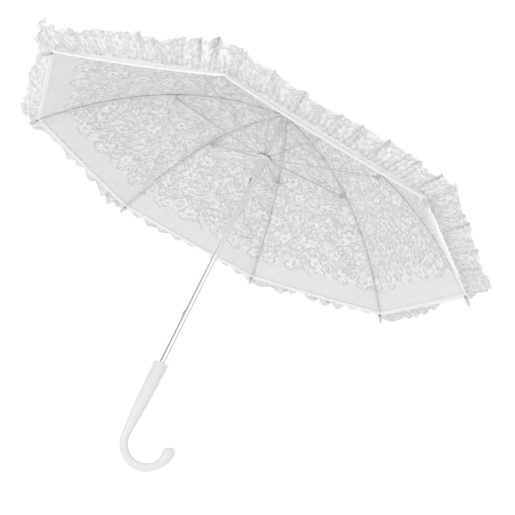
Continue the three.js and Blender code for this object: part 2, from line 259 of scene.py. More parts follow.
def swept_mesh(name, path, section):
    """A bar of one section swept along points in the plane of radius and height.
    section holds (across, outward) points, and path (radius, height, out direction)."""
    points = [(x + n * out[0], y, z + n * out[1]) for x, z, out in path for y, n in section]
    columns = len(section)
    faces = grid_quads(len(path), columns, wrap=True, flip=True).tolist()
    faces.append(list(range(columns)))
    faces.append(list(range(len(points) - 1, len(points) - 1 - columns, -1)))
    return shade(face_mesh(name, points, faces))


def box_mesh(name, low, high):
    (x0, y0, z0), (x1, y1, z1) = low, high
    points = [(x, y, z) for x in (x0, x1) for y in (y0, y1) for z in (z0, z1)]
    faces = [(0, 1, 3, 2), (4, 6, 7, 5), (0, 4, 5, 1), (2, 3, 7, 6), (0, 2, 6, 4), (1, 5, 7, 3)]
    return face_mesh(name, points, faces)


def cross_pin_mesh(name, x, z, radius, length, sides=24):
    """A pin that lies across the plane of radius and height."""
    half = length / 2
    mesh = turned_mesh(name, [(0, -half), (radius, -half), (radius, half), (0, half)], sides)
    mesh.transform(Matrix.Translation((x, 0, z)) @ Matrix.Rotation(math.pi / 2, 4, "X"))
    return mesh


def combined(base, others, operation):
    """The base mesh with the others joined to it or cut from it, in turn."""
    obj = object_of("work", base)
    tools = []
    for mesh in others:
        tool = object_of("tool", mesh)
        tools.append(tool)
        step = obj.modifiers.new("step", "BOOLEAN")
        step.operation = operation
        step.solver = "EXACT"
        step.object = tool
    applied(obj)
    for tool in tools:
        data = tool.data
        bpy.data.objects.remove(tool)
        bpy.data.meshes.remove(data)
    mesh = obj.data
    bpy.data.objects.remove(obj)
    return mesh


def joined(base, others):
    return combined(base, others, "UNION")


def cut(base, others):
    return combined(base, others, "DIFFERENCE")


def eased(mesh, width, segments=2, angle=math.radians(35)):
    """Rounds the sharp edges of a mesh."""
    obj = object_of("work", mesh)
    bevel = obj.modifiers.new("edges", "BEVEL")
    bevel.width = width
    bevel.segments = segments
    bevel.limit_method = "ANGLE"
    bevel.angle_limit = angle
    bevel.use_clamp_overlap = True
    applied(obj)
    mesh = obj.data
    bpy.data.objects.remove(obj)
    return shade(mesh)


def turned_to(mesh, azimuth):
    copy = mesh.copy()
    copy.transform(Matrix.Rotation(azimuth, 4, "Z"))
    return copy


# ---- Materials ----


class Surface:
    """A Principled material with short calls for its nodes."""

    def __init__(self, name):
        self.material = bpy.data.materials.new(name)
        self.material.use_nodes = True
        self.tree = self.material.node_tree
        self.shader = self.tree.nodes["Principled BSDF"]

    def node(self, kind, **settings):
        node = self.tree.nodes.new(kind)
        for key, value in settings.items():
            setattr(node, key, value)
        return node

    def feed(self, socket, value):
        if isinstance(value, bpy.types.NodeSocket):
            self.tree.links.new(value, socket)
        elif socket.type == "RGBA":
            socket.default_value = (*value, 1.0) if len(value) == 3 else value
        else:
            socket.default_value = value

    def calc(self, operation, *values):
        node = self.node("ShaderNodeMath", operation=operation)
        for socket, value in zip(node.inputs, values):
            self.feed(socket, value)
        return node.outputs[0]

    def ramp(self, value, low, high, to_low=0.0, to_high=1.0):
        """An eased step from to_low to to_high between low and high."""
        node = self.node("ShaderNodeMapRange", interpolation_type="SMOOTHSTEP")
        for socket, x in zip(node.inputs, (value, low, high, to_low, to_high)):
            self.feed(socket, x)
        return node.outputs[0]

    def mix(self, factor, a, b):
        node = self.node("ShaderNodeMix", data_type="RGBA")
        for socket, value in ((node.inputs[0], factor), (node.inputs[6], a), (node.inputs[7], b)):
            self.feed(socket, value)
        return node.outputs[2]

    def place(self):
        return self.node("ShaderNodeTexCoord").outputs["Object"]

    def noise(self, scale, detail=3.0, stretch=None):
        vector = self.place()
        if stretch:
            mapping = self.node("ShaderNodeMapping")
            mapping.inputs["Scale"].default_value = stretch
            self.tree.links.new(vector, mapping.inputs["Vector"])
            vector = mapping.outputs[0]
        node = self.node("ShaderNodeTexNoise")
        self.tree.links.new(vector, node.inputs["Vector"])
        node.inputs["Scale"].default_value = scale
        node.inputs["Detail"].default_value = detail
        return node.outputs["Fac"]

    def bump(self, height, distance, strength=1.0):
        node = self.node("ShaderNodeBump")
        node.inputs["Distance"].default_value = distance
        node.inputs["Strength"].default_value = strength
        self.tree.links.new(height, node.inputs["Height"])
        self.tree.links.new(node.outputs[0], self.shader.inputs["Normal"])

    def set(self, **sockets):
        for name, value in sockets.items():
            self.feed(self.shader.inputs[name.replace("_", " ")], value)
        return self.material


def white_plastic():
    """Glossy white moulding with a faint parting line on the plane of the crook."""
    s = Surface("white_plastic")
    cloud = s.noise(24.0, 4.0)
    fine = s.noise(320.0, 2.0)
    split = s.node("ShaderNodeSeparateXYZ")
    s.tree.links.new(s.place(), split.inputs[0])
    from_line = s.calc("ABSOLUTE", split.outputs["Y"])
    seam = s.ramp(from_line, 0.0001, 0.0004, 1.0, 0.0)
    height = s.calc("ADD", s.calc("MULTIPLY", fine, 0.15), s.calc("MULTIPLY", seam, 0.6))
    s.bump(height, 0.00004, 0.12)
    colour = s.mix(cloud, (0.69, 0.69, 0.685), (0.72, 0.72, 0.715))
    return s.set(
        Base_Color=colour,
        Roughness=s.ramp(cloud, 0.3, 0.7, 0.24, 0.36),
        Coat_Weight=0.25,
        Coat_Roughness=0.12,
        Specular_IOR_Level=0.5,
    )


def shaft_chrome():
    """Plated tube, drawn along its length, with a warm tint."""
    s = Surface("shaft_chrome")
    drawn = s.noise(60.0, 3.0, stretch=(40.0, 40.0, 0.6))
    patches = s.noise(18.0, 2.0)
    s.bump(drawn, 0.00004, 0.35)
    colour = s.mix(patches, (0.90, 0.865, 0.835), (0.95, 0.93, 0.91))
    return s.set(Base_Color=colour, Metallic=0.8, Roughness=s.ramp(drawn, 0.3, 0.7, 0.16, 0.26))


def rib_steel():
    """Bright zinc-plated strip with duller streaks."""
    s = Surface("rib_steel")
    streak = s.noise(400.0, 3.0)
    s.bump(streak, 0.00005, 0.4)
    colour = s.mix(s.ramp(streak, 0.45, 0.75), (0.86, 0.86, 0.87), (0.95, 0.95, 0.955))
    return s.set(Base_Color=colour, Metallic=0.3, Roughness=s.ramp(streak, 0.3, 0.7, 0.28, 0.48))


def grained(name, noise, relief, low, high, roughness, **rest):
    """A finish whose colour, roughness and relief all follow one grain."""
    s = Surface(name)
    grain = s.noise(*noise)
    s.bump(grain, *relief)
    colour = s.mix(grain, low, high)
    return s.set(Base_Color=colour, Roughness=s.ramp(grain, 0.3, 0.7, *roughness), **rest)


def tip_plastic():
    """Pale grey moulding of the rib tips."""
    s = Surface("tip_plastic")
    cloud = s.noise(140.0, 3.0)
    s.bump(s.noise(900.0, 2.0), 0.00003, 0.2)
    colour = s.mix(cloud, (0.56, 0.56, 0.565), (0.62, 0.62, 0.625))
    return s.set(Base_Color=colour, Roughness=s.ramp(cloud, 0.3, 0.7, 0.34, 0.46))


class Wire:
    """A number that flows between shader nodes, with ordinary arithmetic."""

    def __init__(self, surface, socket):
        self.surface = surface
        self.socket = socket

    def __add__(self, other):
        return compute("ADD", None, self, other)

    def __sub__(self, other):
        return compute("SUBTRACT", None, self, other)

    def __rsub__(self, other):
        return compute("SUBTRACT", None, other, self)

    def __mul__(self, other):
        return compute("MULTIPLY", None, self, other)

    def __abs__(self):
        return compute("ABSOLUTE", None, self)

    __radd__ = __add__
    __rmul__ = __mul__


def compute(operation, plain, *values):
    """One step of arithmetic on numbers and arrays, or as a node if a value is a wire."""
    wires = [v for v in values if isinstance(v, Wire)]
    if not wires:
        return plain(*values)
    surface = wires[0].surface
    sockets = [v.socket if isinstance(v, Wire) else v for v in values]
    return Wire(surface, surface.calc(operation, *sockets))


def sine(x):
    return compute("SINE", np.sin, x)


def larger(a, b):
    return compute("MAXIMUM", np.maximum, a, b)


def wrapped(x, half):
    """x brought into the range from -half to half by whole repeats."""
    return compute("WRAP", lambda x, high, low: (x - low) % (high - low) + low, x, half, -half)


def ramp(x, low, high):
    """0 below low and 1 above high, eased, or the other way round if low is above high."""
    if isinstance(x, Wire):
        return Wire(x.surface, x.surface.ramp(x.socket, low, high))
    t = np.clip((x - low) / (high - low), 0, 1)
    return t * t * (3 - 2 * t)


def band(x, width):
    """1 where x is 0, and 0 at width to either side."""
    return ramp(abs(x), width, 0.0)


def flower(x, y, size, petals, turn):
    """Fill, cord and dark of a flower whose centre is the origin. The dark is painted shade in a ring just
    outside its edge, with a darker heart.
    """
    far = compute("SQRT", np.sqrt, x * x + y * y)
    angle = compute("ARCTAN2", np.arctan2, y, x)
    lobe = abs(sine(angle * (petals / 2) + turn))
    edge = size * (0.60 + 0.40 * compute("POWER", np.power, lobe, 0.6))
    past = far - edge
    heart = far - 0.25 * size
    fill = ramp(past, 0.6, -0.8) * ramp(heart, -0.9, 0.3)
    vein = band(lobe, 0.28) * ramp(heart, 1.5, 3.0) * ramp(past, 0.5, -0.5)
    cord = larger(band(past, 1.5), larger(band(heart, 1.2), 0.7 * vein))
    # Painted shade: a dark ring just outside the flower's edge, and a darker heart.
    dark = larger(band(past - 2.6, 2.8), ramp(heart, -1.0, -2.0))
    return fill, cord, dark


def leaf(x, y, length, width, turn):
    """Fill, cord and painted shade of a pointed leaf whose middle is the origin; the shade is a ring just
    outside its edge.
    """
    c, s = math.cos(turn), math.sin(turn)
    along = (x * c + y * s) * (2 / length)
    across = y * c - x * s
    half = (1 - along * along) * (width / 2)
    past = abs(across) - half
    fill = ramp(past, 0.5, -0.5)
    cord = larger(band(past, 1.3), band(across, 0.9) * fill)
    near = ramp(abs(along), 1.25, 1.05)
    # The third value is painted shade, a ring just outside the leaf's edge.
    return fill * near, cord * near, band(past - 2.2, 2.3) * near


@dataclass
class Lace:
    """A repeat of flowers, leaves and wavy vines, in millimetres of flat cloth."""

    repeat: tuple
    flowers: list
    leaves: list
    vines: list
    stray: float

    def values(self, u, v, limit):
        """Fill, cord and dark at u, v, the dark being painted shade round the motifs and beside the vines.
        Motifs centred past limit are left out.
        """
        a = self.stray
        x0 = u + a * sine(v * (1 / 23) + 1.1) + 0.6 * a * sine(v * (1 / 9.7) + u * (1 / 31))
        y0 = v + a * sine(u * (1 / 27) + 0.6) + 0.6 * a * sine(u * (1 / 12.1) - v * (1 / 29))
        fill, cord, dark = 0.0 * u, 0.0 * u, 0.0 * u
        half_u, half_v = self.repeat[0] / 2, self.repeat[1] / 2
        for shape, table in ((flower, self.flowers), (leaf, self.leaves)):
            for centre_u, centre_v, *form in table:
                x = wrapped(x0 - centre_u, half_u)
                y = wrapped(y0 - centre_v, half_v)
                here = ramp(v - y, limit, limit - 1.0)
                f, c, d = shape(x, y, *form)
                outside = 1 - f * here
                fill = larger(fill, f * here)
                cord = larger(cord * outside, c * here)
                dark = larger(dark * outside, d * here)
        for centre_v, swing, phase in self.vines:
            path = y0 - swing * sine(x0 * (2 * math.pi / self.repeat[0]) + phase)
            off = wrapped(path - centre_v, half_v)
            here = ramp(v, limit + 12, limit + 6) * (1 - fill)
            cord = larger(cord, band(off, 1.3) * here)
            # Painted shade on one side of the vine's cord.
            dark = larger(dark, 0.8 * band(off - 2.0, 1.5) * here)
        return fill, cord, dark * (1 - cord)


CANOPY_PATTERN = Lace(
    (54.0, 92.0),
    [(0, 0, 15.5, 6, 0.2), (27, 46, 13.6, 6, 0.9), (26, 10, 7.6, 5, 0.4), (1, 57, 6.8, 5, 1.0)],
    [
        (13, 25, 17, 7.0, 0.9), (-15, 23, 16, 6.5, 2.4), (14, -23, 16, 6.5, 2.3),
        (-12, -24, 17, 7.0, 0.8), (27, -10, 15, 6.0, 1.6), (4, 39, 13, 5.5, 0.2),
    ],
    [(23, 7.0, 0.4), (69, 7.5, 2.2)],
    7.5,
)
RUFFLE_PATTERN = Lace(
    (34.0, 400.0),
    [(0, 22, 12.5, 6, 0.5), (17, 33, 7.2, 5, 0.9), (17, 10, 6.5, 5, 0.2)],
    [(9, 36, 11, 5.0, 0.7), (-9, 36, 11, 5.0, 2.4), (-15, 20, 12, 5.0, 1.4)],
    [(4.0, 1.6, 0.3)],
    1.6,
)
RUFFLE_LIMIT_MM = 200.0
NET_CELL_MM = 2.3
WEAVE_MM = 0.8


def lace_cloth(name, pattern, limit, net, thread, dark):
    """Machine lace: a six-sided net, dense woven motifs and raised cords, with painted shade in a ring round
    the motifs.
    """
    s = Surface(name)
    uv = s.node("ShaderNodeUVMap", uv_map="cloth")
    split = s.node("ShaderNodeSeparateXYZ")
    s.tree.links.new(uv.outputs[0], split.inputs[0])
    u, v = Wire(s, split.outputs["X"]), Wire(s, split.outputs["Y"])
    # gap holds the painted shade round the motifs and beside the vines.
    fill, cord, gap = pattern.values(u, v, limit)
    k = 4 * math.pi / (math.sqrt(3) * NET_CELL_MM)
    waves = 0.0 * u
    for turn in (0.0, 2 * math.pi / 3, 4 * math.pi / 3):
        along = u * (k * math.cos(turn)) + v * (k * math.sin(turn))
        waves = waves + sine(along + math.pi / 2)
    mesh = ramp(waves, 1.1, 0.1)
    pitch = 2 * math.pi / WEAVE_MM
    weave = ramp(sine(u * pitch) * sine(v * pitch), -0.6, 0.6)
    yarn = s.noise(260.0, 3.0)
    patchy = s.noise(11.0, 2.0)
    broken = s.ramp(s.noise(85.0, 2.0), 0.36, 0.58, 0.1, 0.85)
    inside = ramp(v, limit + 9, limit - 5)
    mottle = ramp(Wire(s, s.noise(130.0, 3.0)), 0.47, 0.60) * inside * 0.5
    colour = s.mix(mesh.socket, net, thread)
    colour = s.mix((fill * (0.8 + 0.2 * weave)).socket, colour, thread)
    colour = s.mix((0.16 - inside * 0.16).socket, colour, (0.5, 0.5, 0.505))
    colour = s.mix(mottle.socket, colour, dark)
    # Painted shade: the dark colour in a broken ring round each motif.
    colour = s.mix((gap * Wire(s, broken)).socket, colour, dark)
    colour = s.mix((cord * Wire(s, broken) * 0.6).socket, colour, (0.95, 0.95, 0.945))
    worn = s.calc("MULTIPLY", s.ramp(patchy, 0.35, 0.65, 0.07, 0.0), s.ramp(yarn, 0.3, 0.7, 1.3, 0.7))
    colour = s.mix(worn, colour, (0.55, 0.55, 0.56))
    relief = mesh * (1 - fill) * 0.5 + fill * (0.9 + 0.2 * weave) + cord * 1.1 - gap * 0.6
    height = s.calc("ADD", relief.socket, s.calc("MULTIPLY", yarn, 0.2))
    s.bump(height, 0.0007, 0.9)
    return s.set(
        Base_Color=colour,
        Roughness=s.ramp(yarn, 0.3, 0.7, 0.72, 0.92),
        Sheen_Weight=0.15,
        Sheen_Roughness=0.5,
        Specular_IOR_Level=0.2,
    )


def tape_cloth():
    """Close plain weave of the hem."""
    s = Surface("tape_cloth")
    weave = s.noise(1500.0, 2.0, stretch=(1.0, 1.0, 2.5))
    soft = s.noise(60.0, 3.0)
    s.bump(weave, 0.00018, 0.7)
    colour = s.mix(soft, (0.79, 0.79, 0.785), (0.85, 0.85, 0.845))
    return s.set(
        Base_Color=colour,
        Roughness=s.ramp(weave, 0.3, 0.7, 0.75, 0.9),
        Sheen_Weight=0.3,
        Sheen_Roughness=0.45,
        Specular_IOR_Level=0.25,
    )


PLASTIC = white_plastic()
CHROME = shaft_chrome()
STEEL = rib_steel()
TIP_PLASTIC = tip_plastic()
# Drawn stretcher wire, duller than the ribs.
WIRE_STEEL = grained(
    "wire_steel", (300.0, 3.0), (0.00004, 0.3), (0.60, 0.60, 0.61), (0.74, 0.74, 0.75), (0.30, 0.45),
    Metallic=0.6,
)
# Tempered leaf with a bronze tint.
SPRING = grained(
    "spring_steel", (240.0, 3.0), (0.00004, 0.4), (0.50, 0.40, 0.28), (0.68, 0.62, 0.52), (0.25, 0.42),
    Metallic=0.95,
)
# Twisted sewing thread.
THREAD = grained(
    "sewing_thread", (2600.0, 2.0), (0.0001, 0.6), (0.58, 0.58, 0.575), (0.72, 0.72, 0.715), (0.5, 0.7),
    Sheen_Weight=0.2,
)
# The dark colour serves both the random mottle and the painted shade round the motifs.
CANOPY_LACE = lace_cloth(
    "canopy_lace", CANOPY_PATTERN, CANOPY_LIMIT_MM,
    net=(0.72, 0.72, 0.725), thread=(0.93, 0.93, 0.925), dark=(0.61, 0.61, 0.615),
)
RUFFLE_LACE = lace_cloth(
    "ruffle_lace", RUFFLE_PATTERN, RUFFLE_LIMIT_MM,
    net=(0.80, 0.80, 0.805), thread=(0.92, 0.92, 0.915), dark=(0.72, 0.72, 0.725),
)
TAPE = tape_cloth()


# ---- Canopy ----

CLOTH_LIFT = 0.0024
CLOTH_THICK = 0.0005
CORD_RISE = 0.00025
FILL_RISE = 0.0003
CANOPY_ROWS = 270
CANOPY_COLUMNS = 161
SAG_DEPTH = 0.0075
CANOPY_INNER_R = 0.0125


def sag(radius, side):
    """How far the cloth falls in between the ribs, from 0 over each rib."""
    t = np.abs(side)
    along = np.sin(math.pi * np.clip(radius / RIM_R, 0, 1) ** 1.3) ** 0.9
    rim = 0.34 * (radius / RIM_R) ** 3
    return SAG_DEPTH * (along * 0.8 + rim) * (1 - (1 - t) ** 2)


def strain_folds(radius, side, gore_seed):
    """Shallow folds that run out from the crown and in from each rib tip."""
    t = np.abs(side)
    phase = 1.7 * gore_seed
    near_crown = np.exp(-((radius / 0.10) ** 2)) * np.sin(9 * t * math.pi + phase)
    near_tip = np.exp(-(((RIM_R - radius) / 0.07) ** 2)) * np.exp(-((t / 0.45) ** 2))
    ripple = np.sin(16 * t * math.pi + 30 * (RIM_R - radius) + phase)
    return 0.0009 * near_crown * (radius / 0.05).clip(0, 1) + 0.0008 * near_tip * ripple * t


def canopy_surface(radius, side, gore_seed):
    """Mid surface of the cloth and its unit normals, in the rib's own plane."""

    def at(r, t):
        x, z = rib_point(r, CLOTH_LIFT + CLOTH_THICK)
        depth = sag(r, t) + strain_folds(r, t, gore_seed)
        slope = rib_slope(r)
        length = np.hypot(1, slope)
        return cloth_point(x + depth * slope / length, z - depth / length, t)

    point = at(radius, side)
    dr = at(radius + 1e-4, side) - point
    sign = np.where(side > 0.99, -1.0, 1.0)
    dt = (at(radius, side + 1e-3 * sign) - point) * sign[..., None]
    return point, unit(np.cross(dr, dt))


def on_rib(mesh, k, material, replaces=()):
    """Turns a mesh made over azimuth 0 to rib k, and makes it a piece that rides on it."""
    mesh.transform(Matrix.Rotation(rib_azimuth(k), 4, "Z"))
    return finish_piece(object_of(mesh.name, mesh), f"rib_{k + 1}", material, replaces)


def canopy_sector(k):
    """The cloth over one rib: half of the gore on each side of it, sewn along the rib."""
    arc = np.linspace(float(np.interp(CANOPY_INNER_R, ARC_RADII, ARC_LENGTHS)), RIM_ARC, CANOPY_ROWS)
    radius = np.interp(arc, ARC_LENGTHS, ARC_RADII)[:, None] * np.ones(CANOPY_COLUMNS)
    side = np.linspace(-1, 1, CANOPY_COLUMNS)[None, :] * np.ones((CANOPY_ROWS, 1))
    gore = np.where(side >= 0, k, (k - 1) % RIBS)
    half_width = radius * math.sin(SECTOR / 2) * 1000
    v = arc[:, None] * 1000 * np.ones(CANOPY_COLUMNS)
    right = np.stack([(side - 1) * half_width + 13.0 * k, v], -1)
    left = np.stack([(side + 1) * half_width + 13.0 * ((k - 1) % RIBS), v], -1)
    flat = np.where(side[..., None] >= 0, right, left)
    fill, cord, _ = CANOPY_PATTERN.values(flat[..., 0], v, CANOPY_LIMIT_MM)
    from_seam = np.abs(side) * half_width
    seam = ramp(from_seam, 3.4, 2.6)
    point, normal = canopy_surface(radius, side, gore)
    relief = FILL_RISE * np.maximum(fill, seam) + CORD_RISE * cord * (1 - seam)
    half = (CLOTH_THICK / 2 + relief)[..., None] * normal
    mesh = shell_mesh(f"lace_canopy_{k + 1}", point - half, point + half, right, left)
    return on_rib(mesh, k, CANOPY_LACE, [f"canopy_gore_{k + 1}"])


def folds_with(obj, k):
    """Gives a piece of cloth a mesh of its own."""
    azimuth = rib_azimuth(k)
    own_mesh(obj)


# ---- Ruffle ----

RUFFLE_WIDTH = 0.042
RUFFLE_TILT = math.radians(25)
RUFFLE_ROWS = 46
RUFFLE_COLUMNS = 341
GATHER = 1.25
PLEATS_ROUND = 290
PLEAT_DEPTH = 0.0012
FOLDS_ROUND = 74
FOLD_DEPTH = 0.0056
FOLD_SLIDE = 0.0026
SCALLOP_MM = 11.0
LIMP_AZIMUTH = math.radians(100)
LIMP_FALL = math.radians(29)


def wandering(s, seeds, size):
    """A smooth wander of s that closes on itself, where s runs from 0 to 1 round the rim."""
    total = np.zeros_like(s)
    for n, (turns, phase) in enumerate(seeds):
        total += np.sin(2 * math.pi * (turns * s + phase)) / (1 + 0.5 * n)
    return size * total


def ruffle_sector(k):
    """The gathered band over one rib, with loose folds, curls and a scalloped free edge."""
    w = np.linspace(0, 1, RUFFLE_ROWS)[:, None] * np.ones(RUFFLE_COLUMNS)
    side = np.linspace(-1, 1, RUFFLE_COLUMNS)[None, :] * np.ones((RUFFLE_ROWS, 1))
    s = (k + side / 2) / RIBS
    phase = FOLDS_ROUND * 2 * math.pi * s + wandering(s, ((11, 0.1), (17, 0.37), (29, 0.71)), 1.3)
    size = np.clip(0.66 + wandering(s, ((9, 0.6), (23, 0.2), (5, 0.43)), 0.34), 0.15, 1.0)
    crumple = np.sin(2.3 * phase + 3 * w + 1.3) * 0.0012 * w + np.sin(5.1 * phase - 4 * w) * 0.0005 * w
    depth = (0.0004 + FOLD_DEPTH * w ** 1.25) * size * np.sin(phase + 0.5 * w) + crumple * size
    pleat_phase = PLEATS_ROUND * 2 * math.pi * s + wandering(s, ((21, 0.3), (34, 0.6)), 0.8)
    depth = depth + PLEAT_DEPTH * (1 + np.sin(pleat_phase)) * (1 - w) ** 0.8
    slide = FOLD_SLIDE * w ** 1.3 * size * np.cos(phase + 0.4) / (RIM_WIDTH / 2)
    slide = slide * np.clip((1 - np.abs(side)) * 8, 0, 1)
    azimuth = FIRST_RIB + 2 * math.pi * s
    limp = ramp(np.cos(azimuth - LIMP_AZIMUTH), -0.05, 0.55)
    angle = RUFFLE_TILT - LIMP_FALL * limp
    angle = angle + wandering(s, ((7, 0.15), (13, 0.5), (31, 0.9)), 0.09) * w ** 0.7
    angle = angle + wandering(s, ((19, 0.33), (41, 0.77)), 0.07) * w ** 2
    u = s * RIBS * RIM_WIDTH * GATHER * 1000
    scallop = np.abs(np.sin(math.pi * u / SCALLOP_MM)) ** 0.7
    reach = RUFFLE_WIDTH * (0.93 + 0.055 * scallop + wandering(s, ((27, 0.4), (6, 0.8), (16, 0.3)), 0.035))
    foot_x, foot_z = rib_point(RIM_R - 0.005, CLOTH_LIFT + 2 * CLOTH_THICK + 0.0007)
    x = foot_x + reach * w * np.cos(angle) - depth * np.sin(angle)
    z = foot_z + reach * w * np.sin(angle) + depth * np.cos(angle)
    point = cloth_point(x, z, side + slide)
    v = w * RUFFLE_WIDTH * 1000
    fill, cord, _ = RUFFLE_PATTERN.values(u, v, RUFFLE_LIMIT_MM)
    edge = ramp(v, RUFFLE_WIDTH * 1000 - 2.2, RUFFLE_WIDTH * 1000 - 1.0)
    half = (0.0002 + 0.0002 * fill + 0.0002 * cord + 0.0003 * edge)[..., None] * grid_normals(point)
    mesh = shell_mesh(f"lace_ruffle_{k + 1}", point - half, point + half, np.stack([u, v], -1))
    return on_rib(mesh, k, RUFFLE_LACE, [f"ruffle_{k + 1}"])


# ---- Hem, stitches and ties ----

HEM_WIDTH = 0.0065
HEM_THICK = 0.00035
HEM_EDGE_R = RIM_R + 0.0004


def hem_strip(k):
    """The rim folded back on itself, on the inner side, and round the cut edge."""
    columns = 121
    side = np.linspace(-1, 1, columns)
    gore = np.where(side >= 0, k, (k - 1) % RIBS)
    section = []
    for t in np.linspace(0, 1, 9):
        section.append((HEM_EDGE_R - HEM_WIDTH * (1 - t), -0.00105 - 0.0003 * math.sin(math.pi * t)))
    for t in np.linspace(0, 1, 6):
        turn = math.pi * (t - 0.5)
        section.append((HEM_EDGE_R + 0.0009 * math.cos(turn), -0.0001 + 0.00095 * math.sin(turn)))
    for t in np.linspace(0, 1, 5):
        section.append((HEM_EDGE_R - 0.0042 * t, 0.00095 - 0.0001 * t))
    rows = []
    pucker = 0.00018 * np.sin(side * 190 + 3 * k)
    for r, lift in section:
        radius = np.full(columns, r)
        point, normal = canopy_surface(radius, side, gore)
        rows.append(point - normal * (lift + pucker)[:, None])
    outer = np.array(rows)
    u = side[None, :] * 145.0 * np.ones((len(section), 1))
    v = np.array([p[0] for p in section])[:, None] * 1000 * np.ones(columns)
    inner = outer + grid_normals(outer) * HEM_THICK
    return on_rib(shell_mesh(f"rim_hem_{k + 1}", outer, inner, np.stack([u, v], -1)), k, TAPE)


def tube_along(points, radius, sides=6):
    """Points and quads of a thin closed tube along a short path."""
    points = np.asarray(points, float)
    along = unit(np.gradient(points, axis=0))
    guide = (0.3, 0.2, 0.93)
    across = unit(np.cross(along, guide))
    up = np.cross(across, along)
    angle = np.linspace(0, 2 * math.pi, sides, endpoint=False)[None, :, None]
    swell = np.ones(len(points))
    swell[0] = swell[-1] = 0.15
    ring = (np.cos(angle) * across[:, None] + np.sin(angle) * up[:, None]) * radius * swell[:, None, None]
    return (points[:, None] + ring).reshape(-1, 3), grid_quads(len(points), sides, wrap=True)


STITCH_STEP = 0.0042


def hem_stitches(k):
    """Running stitches that hold the folded hem, on its inner side."""
    count = int(RIM_WIDTH / STITCH_STEP)
    vertices, quads = [], []
    for n in range(count):
        start = -1 + 2 * (n + 0.2) / count
        side = start + np.linspace(0, 1.25 / count, 5)
        gore = np.where(side >= 0, k, (k - 1) % RIBS)
        point, normal = canopy_surface(np.full(5, HEM_EDGE_R - HEM_WIDTH + 0.0011), side, gore)
        lift = 0.00165 + 0.0003 * np.sin(np.linspace(0, math.pi, 5))
        p, q = tube_along(point + normal * lift[:, None], 0.00028)
        quads.append(q + sum(len(x) for x in vertices))
        vertices.append(p)
    mesh = new_mesh(f"hem_stitches_{k + 1}", np.concatenate(vertices), np.concatenate(quads))
    return on_rib(mesh, k, THREAD)


# ---- Hard parts, each made once beside azimuth 0 ----

EYE_R, EYE_THICK, EYE_HOLE_R = 0.0016, 0.0015, 0.00085
WIRE_R = 0.00045
LUG_THICK, CHEEK_THICK, SIDE_GAP = 0.0016, 0.0008, 0.0003
FORK_HALF = LUG_THICK / 2 + SIDE_GAP + CHEEK_THICK
FORK_R = 0.0016
RIVET_R, RIVET_HOLE_R = 0.0008, 0.00115
GALLERY_R, GALLERY_HALF = 0.0115, 0.0022
SLOT_FROM_R, SLOT_HALF = 0.0072, 0.00105
CATCH_SLOT_HALF = 0.0011


def rib_path(start, end, count):
    path = []
    for r in np.linspace(start, end, count):
        slope = float(rib_slope(r))
        length = math.hypot(1, slope)
        path.append((float(r), float(rib_height(r)), (-slope / length, 1 / length)))
    return path


def along_rib(mesh, r, offset=0.0):
    """Moves a mesh made about the origin, with x along the rib and z out of it, to r."""
    slope = float(rib_slope(r))
    x, z = rib_point(r, offset)
    turn = Matrix.Rotation(-math.atan(slope), 4, "Y")
    mesh.transform(Matrix.Translation((float(x), 0, float(z))) @ turn)
    return mesh


def eye_parts(x, z):
    """A flattened eye at x, z and the tab that joins it to its bar."""
    half = EYE_THICK / 2
    tab = box_mesh("tab", (x, -half, z - 0.0013), (x + 0.007, half, z + 0.0013))
    return [cross_pin_mesh("eye", x, z, EYE_R, EYE_THICK), tab]


def with_holes(body, near, far):
    """The bar with the wire's hole at near and the rivet's at far, its edges eased."""
    length = 0.01
    wire_hole = cross_pin_mesh("hole", *near, EYE_HOLE_R, length)
    rivet_hole = cross_pin_mesh("hole", *far, RIVET_HOLE_R, length)
    return eased(cut(body, [wire_hole, rivet_hole]), 0.00018)


def rib_mesh():
    """A steel strip folded to a channel, open to the inside, with its eye, lug and spike."""
    wide, deep, wall = 0.0012, 0.00125, 0.0006
    inside = wide - wall
    section = [
        (-wide, deep), (wide, deep), (wide, -deep), (inside, -deep),
        (inside, deep - wall), (-inside, deep - wall), (-inside, -deep), (-wide, -deep),
    ]
    channel = swept_mesh("channel", rib_path(PIVOT_R + 0.004, RIM_R - 0.001, 72), section)
    clear = 1e-5
    side, top = wide - clear, deep - clear
    full = [(-side, top), (side, top), (side, -deep), (-side, -deep)]
    blocks = [
        swept_mesh("block", rib_path(PIVOT_R + 0.0041, PIVOT_R + 0.009, 4), full),
        swept_mesh("block", rib_path(0.180, 0.190, 4), full),
        swept_mesh("block", rib_path(RIM_R - 0.006, RIM_R - 0.0011, 4), full),
    ]
    lug = cross_pin_mesh("lug", LUG_R, LUG_Z, 0.002, LUG_THICK)
    neck = along_rib(box_mesh("neck", (-0.002, -0.0008, -0.0055), (0.002, 0.0008, 0)), 0.185)
    spike = turned_mesh("spike", [(0, -0.004), (0.001, -0.004), (0.001, 0.0085), (0, 0.009)], 16)
    spike.transform(Matrix.Rotation(math.pi / 2, 4, "Y"))
    along_rib(spike, RIM_R)
    body = joined(channel, [*blocks, *eye_parts(PIVOT_R, NOTCH_Z), lug, neck, spike])
    return with_holes(body, (PIVOT_R, NOTCH_Z), (LUG_R, LUG_Z))


